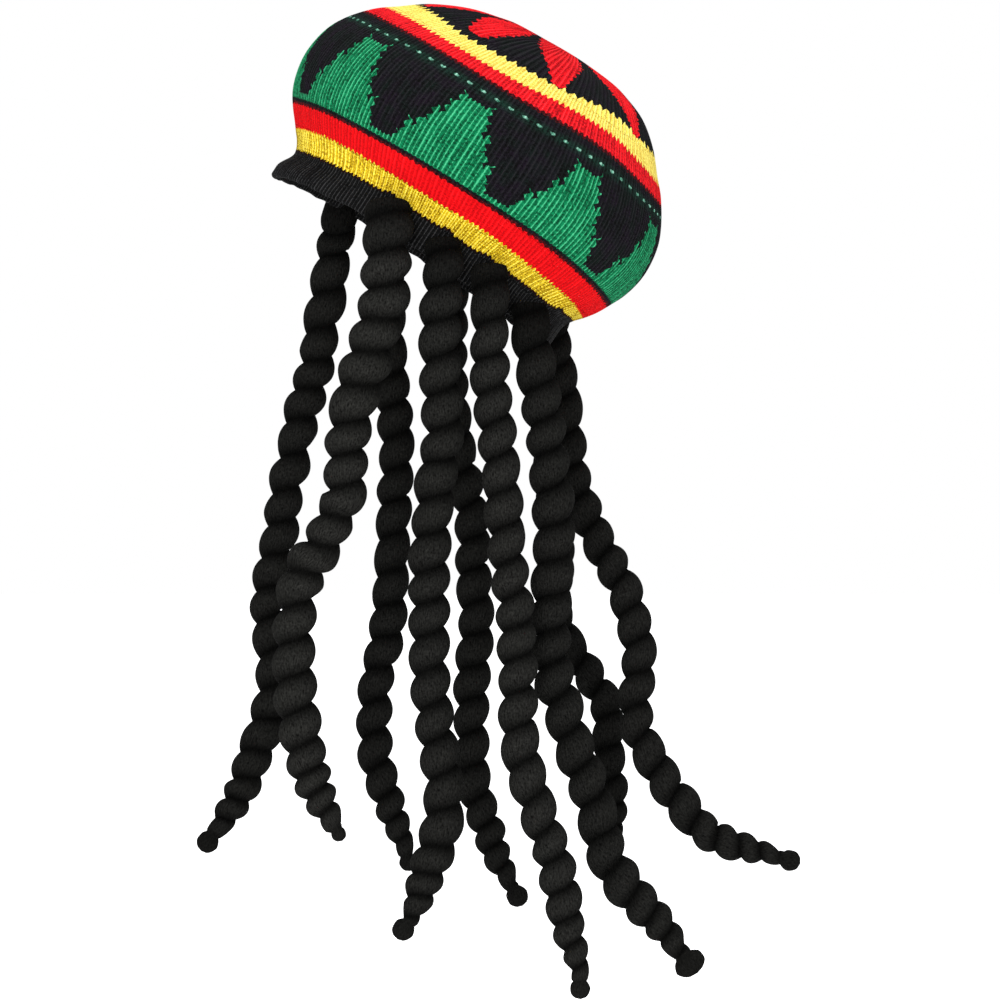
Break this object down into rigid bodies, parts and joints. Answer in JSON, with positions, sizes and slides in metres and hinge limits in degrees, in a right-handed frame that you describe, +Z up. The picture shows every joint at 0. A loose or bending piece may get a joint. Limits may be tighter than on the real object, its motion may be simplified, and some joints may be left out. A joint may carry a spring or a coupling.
{
  "type": "knit tam with yarn locks",
  "caption": "Full round knit cap, tipped back, with a ribbed band, red, yellow and green striped and zigzag knit, and thick twisted dark yarn locks hanging from the band.",
  "frame": {"origin": "middle of the head opening, at the cap's lower edge, where an upright head enters", "axes": "+Z up with the wearer's head upright; the forehead faces -X and the locks trail towards +X; the cap is tipped back 33.3 degrees about Y"},
  "size_m": [0.3506, 0.2187, 0.5657],
  "materials": {
    "black_rib": "soft rib knit",
    "yellow_knit": "soft knit",
    "red_knit": "soft knit",
    "zigzag_knit": "black and green patterned knit",
    "pale_yellow_knit": "soft knit",
    "petal_knit": "black knit with red petals",
    "lock_yarn": "matte twisted yarn"
  },
  "bodies": {
    "root": {"rib_band": "black_rib", "yellow_welt": "yellow_knit", "red_band": "red_knit", "side_panel": "zigzag_knit", "upper_red_stripe": "red_knit", "upper_yellow_stripe": "pale_yellow_knit", "crown_top": "petal_knit", "lock_1": "lock_yarn", "lock_2": "lock_yarn", "lock_3": "lock_yarn", "lock_4": "lock_yarn", "lock_5": "lock_yarn", "lock_6": "lock_yarn", "lock_7": "lock_yarn", "lock_8": "lock_yarn", "lock_9": "lock_yarn"}
  },
  "joints": []
}
